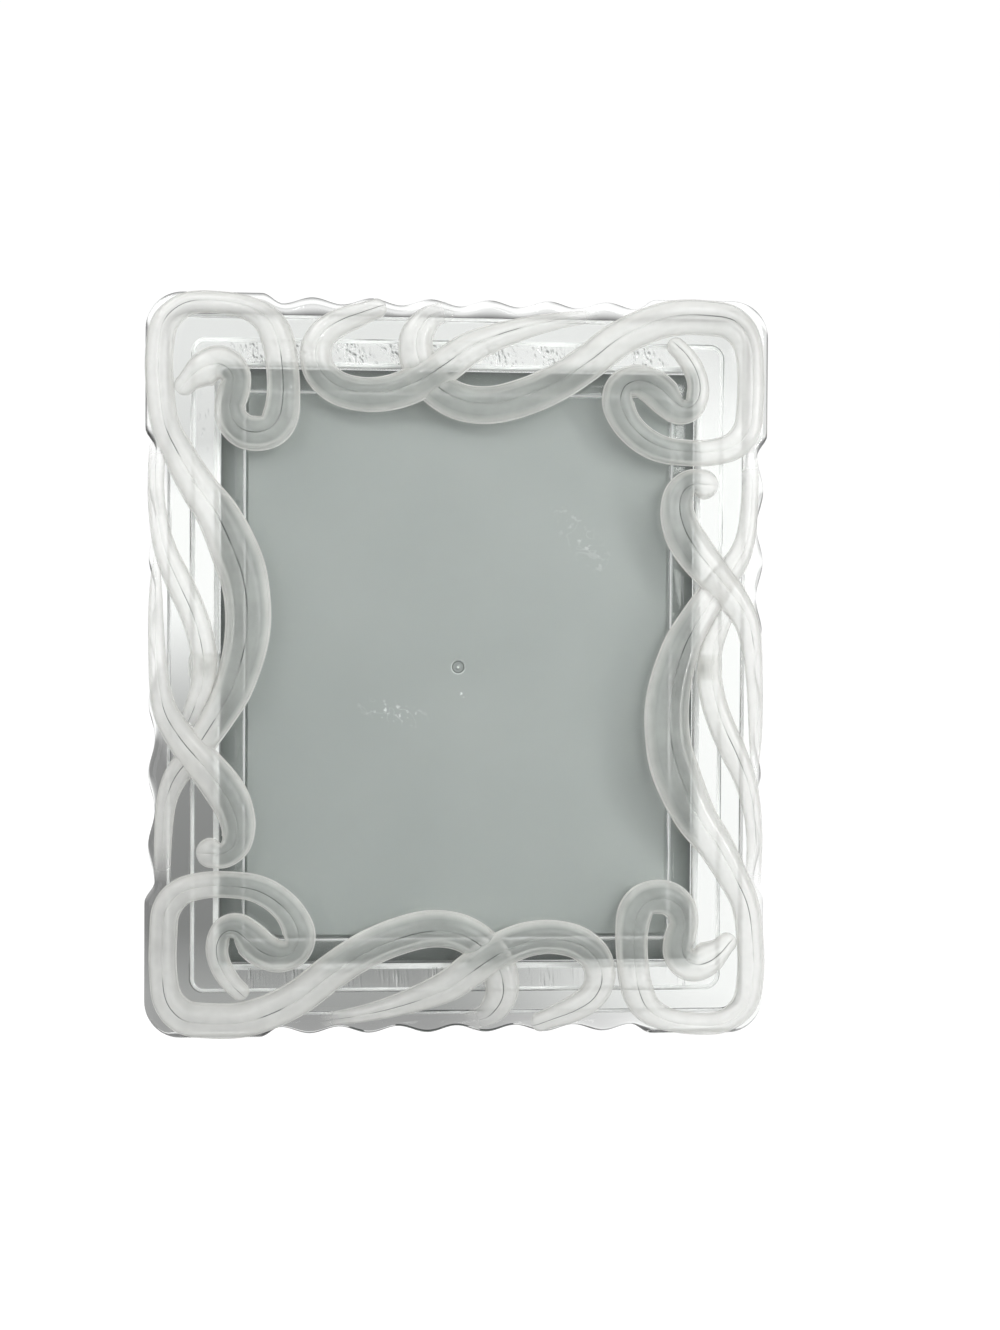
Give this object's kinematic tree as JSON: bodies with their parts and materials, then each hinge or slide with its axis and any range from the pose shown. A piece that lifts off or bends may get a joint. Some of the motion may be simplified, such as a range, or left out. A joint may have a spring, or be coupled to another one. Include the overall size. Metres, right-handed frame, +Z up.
{
  "type": "photo frame",
  "caption": "Standing photo frame: a clear acrylic front with a scalloped rim and frosted scrollwork round its window, a grey back panel held by turn buttons, and an easel leg that folds flat.",
  "frame": {"origin": "middle of the bounding box's footprint, on the surface that the frame stands on", "axes": "+Z up, +X to the viewer's right as the frame is seen from the front, -Y out of the front; the face leans back towards +Y by 15 degrees"},
  "size_m": [0.268, 0.1136, 0.3101],
  "materials": {
    "acrylic_clear": "clear, polished",
    "acrylic_frosted": "frosted, translucent",
    "acrylic_pane": "clear, polished, lightly scuffed",
    "panel_grey": "satin, fine moulded grain",
    "nylon_white": "moulded, satin",
    "steel": "plated"
  },
  "bodies": {
    "frame": {"front_frame": "acrylic_clear", "rear_frame": "acrylic_clear", "window_pane": "acrylic_pane", "back_panel": "panel_grey", "hinge_pin": "steel", "turn_screw_left": "nylon_white", "turn_screw_right": "nylon_white", "scroll_top_left": "acrylic_frosted", "scroll_top_right": "acrylic_frosted", "scroll_bottom_left": "acrylic_frosted", "scroll_bottom_right": "acrylic_frosted", "tendril_top": "acrylic_frosted", "tendril_bottom": "acrylic_frosted", "tendril_left": "acrylic_frosted", "tendril_right": "acrylic_frosted", "strand_left": "acrylic_frosted", "strand_right": "acrylic_frosted"},
    "leg": {"easel_leg": "panel_grey"},
    "button_left": {"turn_button_left": "acrylic_frosted"},
    "button_right": {"turn_button_right": "acrylic_frosted"}
  },
  "joints": [
    {"name": "leg_fold", "type": "hinge", "parent": "frame", "child": "leg", "pos_m": [0, 0.01669, 0.18788], "axis": [1, 0, 0], "range_deg": [-26, 0]},
    {"name": "button_left_turn", "type": "hinge", "parent": "frame", "child": "button_left", "pos_m": [-0.1085, 0.00376, 0.15201], "axis": [0, -0.9659, 0.2588], "continuous": true},
    {"name": "button_right_turn", "type": "hinge", "parent": "frame", "child": "button_right", "pos_m": [0.1085, 0.00376, 0.15201], "axis": [0, -0.9659, 0.2588], "continuous": true}
  ]
}
